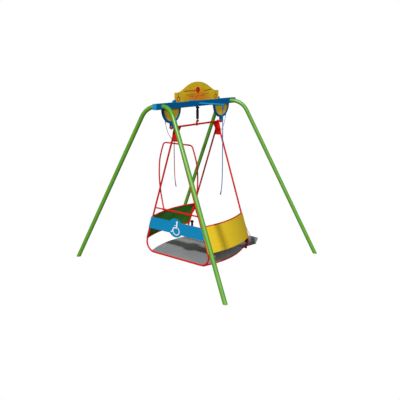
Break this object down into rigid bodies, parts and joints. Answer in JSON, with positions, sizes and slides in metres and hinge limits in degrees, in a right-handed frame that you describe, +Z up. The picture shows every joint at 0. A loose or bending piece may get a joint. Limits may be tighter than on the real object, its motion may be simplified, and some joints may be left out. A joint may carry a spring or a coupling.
{
  "type": "wheelchair swing",
  "caption": "Boarding swing for a wheelchair user: a bowed cabin hung from an A-frame stand by two tube hoops, with a drop ramp, a lowering restraint loop, pull ropes and a swing damper.",
  "frame": {"origin": "on the ground, midway between the four feet, below the middle of the top beam", "axes": "+X along the beam towards the boarding ramp, +Y the way the gondola swings, +Z up"},
  "size_m": [3.1008, 3.6154, 3.3313],
  "materials": {
    "black_plastic": "moulded grip",
    "black_steel": "black coat",
    "blue_paint": "gloss powder coat",
    "blue_panel": "solid coloured board",
    "blue_rope": "laid rope",
    "bright_steel": "zinc plated",
    "bush": "sintered bush",
    "chequer_plate": "five-bar chequer plate",
    "green_paint": "gloss powder coat",
    "green_panel": "solid coloured board",
    "light_blue_paint": "gloss powder coat",
    "light_blue_plastic": "moulded cap",
    "mustard_panel": "solid coloured board",
    "red_paint": "gloss powder coat",
    "red_rope": "laid rope",
    "wire_rope": "stranded steel",
    "yellow_panel": "solid coloured board"
  },
  "bodies": {
    "stand": {"beam_cap_front": "light_blue_plastic", "beam_cap_rear": "light_blue_plastic", "bearing_bracket_front": "blue_paint", "bearing_bracket_rear": "blue_paint", "bearing_bush_front": "bush", "bearing_bush_rear": "bush", "bracket_infill_front": "mustard_panel", "bracket_infill_rear": "mustard_panel", "damper_top_bolt": "black_steel", "damper_top_lug": "blue_paint", "leg_front_left": "green_paint", "leg_front_right": "green_paint", "leg_rear_left": "green_paint", "leg_rear_right": "green_paint", "pull_rope_left": "blue_rope", "pull_rope_right": "red_rope", "rope_arm_left": "light_blue_paint", "rope_arm_right": "light_blue_paint", "rope_eye_left": "bright_steel", "rope_eye_right": "bright_steel", "safety_cable_front": "wire_rope", "safety_cable_rear": "wire_rope", "sign_clip_front": "blue_paint", "sign_clip_rear": "blue_paint", "sign_panel": "mustard_panel", "top_beam": "blue_paint"},
    "gondola": {"apex_plate_front": "red_paint", "apex_plate_rear": "red_paint", "axle": "red_paint", "axle_lug": "red_paint", "bottom_rail_left": "red_paint", "bottom_rail_right": "red_paint", "crossbar": "red_paint", "damper_lower_bolt": "black_steel", "floor_cross_member_front": "red_paint", "floor_cross_member_rear": "red_paint", "floor_plate": "chequer_plate", "front_panel": "blue_panel", "hoop_front": "red_paint", "hoop_rear": "red_paint", "middle_rail_left": "red_paint", "middle_rail_right": "red_paint", "pin_guide_left": "red_paint", "pin_guide_right": "red_paint", "ramp_hinge_bar": "red_paint", "side_panel_left": "yellow_panel", "side_panel_right": "green_panel", "top_rail_left": "red_paint", "top_rail_right": "red_paint"},
    "restraint_loop": {"restraint_loop": "red_paint"},
    "ramp": {"ramp_plate": "chequer_plate", "stay_cable_left": "wire_rope", "stay_cable_right": "wire_rope"},
    "ramp_flap": {"ramp_flap": "chequer_plate"},
    "damper_cylinder": {"damper_cylinder": "black_steel"},
    "damper_rod": {"damper_rod": "bright_steel"},
    "drop_pin_left": {"drop_pin_left": "bright_steel", "pin_handle_left": "black_plastic"},
    "drop_pin_right": {"drop_pin_right": "bright_steel", "pin_handle_right": "black_plastic"}
  },
  "joints": [
    {"name": "gondola_swing", "type": "hinge", "parent": "stand", "child": "gondola", "pos_m": [0, 0, 2.562], "axis": [1, 0, 0], "range_deg": [-25, 25], "deforming": ["safety_cable_front", "safety_cable_rear"]},
    {"name": "damper_pivot", "type": "hinge", "parent": "stand", "child": "damper_cylinder", "pos_m": [0, 0, 2.863], "axis": [1, 0, 0], "range_deg": [-6.5, 6.5]},
    {"name": "damper_stroke", "type": "slide", "parent": "damper_cylinder", "child": "damper_rod", "axis": [0, 0, -1], "range_m": [-0.001, 0.005]},
    {"name": "restraint_loop_hinge", "type": "hinge", "parent": "gondola", "child": "restraint_loop", "pos_m": [-0.63, 0, 1.006], "axis": [0, 1, 0], "range_deg": [0, 90]},
    {"name": "ramp_hinge", "type": "hinge", "parent": "gondola", "child": "ramp", "pos_m": [0.664, 0, 0.1045], "axis": [0, -1, 0], "range_deg": [0, 93.5], "deforming": ["stay_cable_left", "stay_cable_right"]},
    {"name": "ramp_flap_hinge", "type": "hinge", "parent": "ramp", "child": "ramp_flap", "pos_m": [1.1398, 0, 0.0587], "axis": [0, -1, 0], "range_deg": [-65, 40]},
    {"name": "drop_pin_left_slide", "type": "slide", "parent": "gondola", "child": "drop_pin_left", "axis": [0, 0, 1], "range_m": [-0.1, 0]},
    {"name": "drop_pin_right_slide", "type": "slide", "parent": "gondola", "child": "drop_pin_right", "axis": [0, 0, 1], "range_m": [-0.1, 0]}
  ],
  "couplings": [
    {"joint": "damper_pivot", "follows": "gondola_swing", "ratio": -0.2387}
  ]
}
